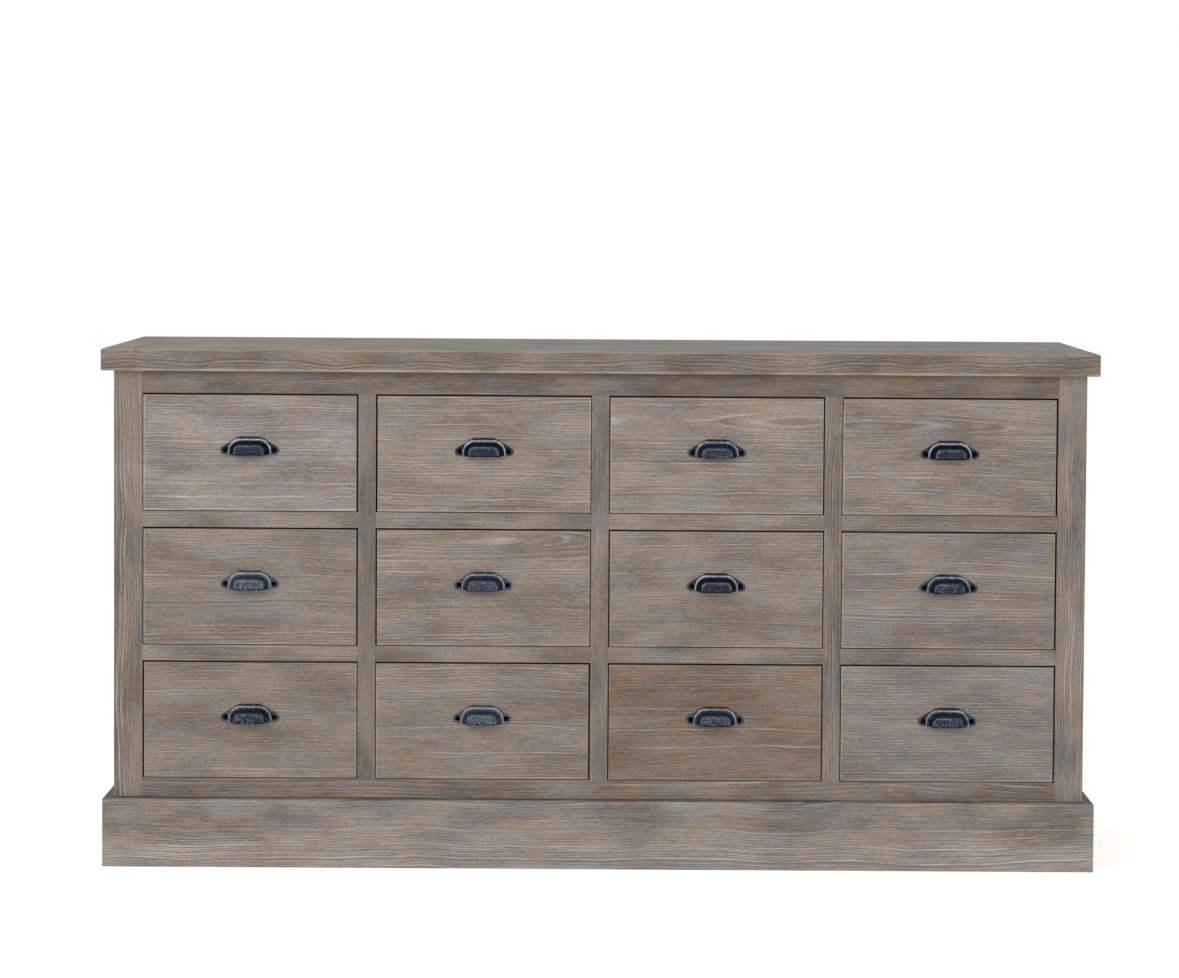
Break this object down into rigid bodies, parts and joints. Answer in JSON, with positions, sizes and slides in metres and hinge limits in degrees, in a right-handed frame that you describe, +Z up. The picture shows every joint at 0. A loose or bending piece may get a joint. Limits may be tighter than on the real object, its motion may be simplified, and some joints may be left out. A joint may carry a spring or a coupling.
{
  "type": "chest of drawers",
  "caption": "Wide rustic chest of drawers in weathered wood: equal drawers in four columns, cast cup pulls, breadboard top, plinth.",
  "frame": {"origin": "middle of the footprint on the floor, pulls included", "axes": "+X to the right seen from the front, +Y to the back, +Z up; the drawers open towards -Y"},
  "size_m": [1.8, 0.458, 0.94],
  "materials": {
    "weathered_wood": "rough greyed, worn edges",
    "inner_wood": "planed, unfinished",
    "aged_iron": "dark patina, rubbed bright on the ridges"
  },
  "bodies": {
    "carcass": {"top_panel": "weathered_wood", "breadboard_end_left": "weathered_wood", "breadboard_end_right": "weathered_wood", "post_front_left": "weathered_wood", "post_front_right": "weathered_wood", "post_back_left": "weathered_wood", "post_back_right": "weathered_wood", "side_rails": "weathered_wood", "side_panel_left": "weathered_wood", "side_panel_right": "weathered_wood", "face_top_rail": "weathered_wood", "face_bottom_rail": "weathered_wood", "muntins": "weathered_wood", "mid_rails": "weathered_wood", "back_rails": "inner_wood", "back_panel": "inner_wood", "bottom_panel": "inner_wood", "partitions": "inner_wood", "drawer_runners": "inner_wood", "drawer_guides": "inner_wood", "drawer_stops": "inner_wood", "plinth_front": "weathered_wood", "plinth_sides": "weathered_wood", "top_blocks": "inner_wood"},
    "drawer_01": {"drawer_01_front": "weathered_wood", "drawer_01_box": "inner_wood", "drawer_01_pull": "aged_iron"},
    "drawer_02": {"drawer_02_front": "weathered_wood", "drawer_02_box": "inner_wood", "drawer_02_pull": "aged_iron"},
    "drawer_03": {"drawer_03_front": "weathered_wood", "drawer_03_box": "inner_wood", "drawer_03_pull": "aged_iron"},
    "drawer_04": {"drawer_04_front": "weathered_wood", "drawer_04_box": "inner_wood", "drawer_04_pull": "aged_iron"},
    "drawer_05": {"drawer_05_front": "weathered_wood", "drawer_05_box": "inner_wood", "drawer_05_pull": "aged_iron"},
    "drawer_06": {"drawer_06_front": "weathered_wood", "drawer_06_box": "inner_wood", "drawer_06_pull": "aged_iron"},
    "drawer_07": {"drawer_07_front": "weathered_wood", "drawer_07_box": "inner_wood", "drawer_07_pull": "aged_iron"},
    "drawer_08": {"drawer_08_front": "weathered_wood", "drawer_08_box": "inner_wood", "drawer_08_pull": "aged_iron"},
    "drawer_09": {"drawer_09_front": "weathered_wood", "drawer_09_box": "inner_wood", "drawer_09_pull": "aged_iron"},
    "drawer_10": {"drawer_10_front": "weathered_wood", "drawer_10_box": "inner_wood", "drawer_10_pull": "aged_iron"},
    "drawer_11": {"drawer_11_front": "weathered_wood", "drawer_11_box": "inner_wood", "drawer_11_pull": "aged_iron"},
    "drawer_12": {"drawer_12_front": "weathered_wood", "drawer_12_box": "inner_wood", "drawer_12_pull": "aged_iron"}
  },
  "joints": [
    {"name": "drawer_01_slide", "type": "slide", "parent": "carcass", "child": "drawer_01", "axis": [0, -1, 0], "range_m": [0, 0.3]},
    {"name": "drawer_02_slide", "type": "slide", "parent": "carcass", "child": "drawer_02", "axis": [0, -1, 0], "range_m": [0, 0.3]},
    {"name": "drawer_03_slide", "type": "slide", "parent": "carcass", "child": "drawer_03", "axis": [0, -1, 0], "range_m": [0, 0.3]},
    {"name": "drawer_04_slide", "type": "slide", "parent": "carcass", "child": "drawer_04", "axis": [0, -1, 0], "range_m": [0, 0.3]},
    {"name": "drawer_05_slide", "type": "slide", "parent": "carcass", "child": "drawer_05", "axis": [0, -1, 0], "range_m": [0, 0.3]},
    {"name": "drawer_06_slide", "type": "slide", "parent": "carcass", "child": "drawer_06", "axis": [0, -1, 0], "range_m": [0, 0.3]},
    {"name": "drawer_07_slide", "type": "slide", "parent": "carcass", "child": "drawer_07", "axis": [0, -1, 0], "range_m": [0, 0.3]},
    {"name": "drawer_08_slide", "type": "slide", "parent": "carcass", "child": "drawer_08", "axis": [0, -1, 0], "range_m": [0, 0.3]},
    {"name": "drawer_09_slide", "type": "slide", "parent": "carcass", "child": "drawer_09", "axis": [0, -1, 0], "range_m": [0, 0.3]},
    {"name": "drawer_10_slide", "type": "slide", "parent": "carcass", "child": "drawer_10", "axis": [0, -1, 0], "range_m": [0, 0.3]},
    {"name": "drawer_11_slide", "type": "slide", "parent": "carcass", "child": "drawer_11", "axis": [0, -1, 0], "range_m": [0, 0.3]},
    {"name": "drawer_12_slide", "type": "slide", "parent": "carcass", "child": "drawer_12", "axis": [0, -1, 0], "range_m": [0, 0.3]}
  ]
}
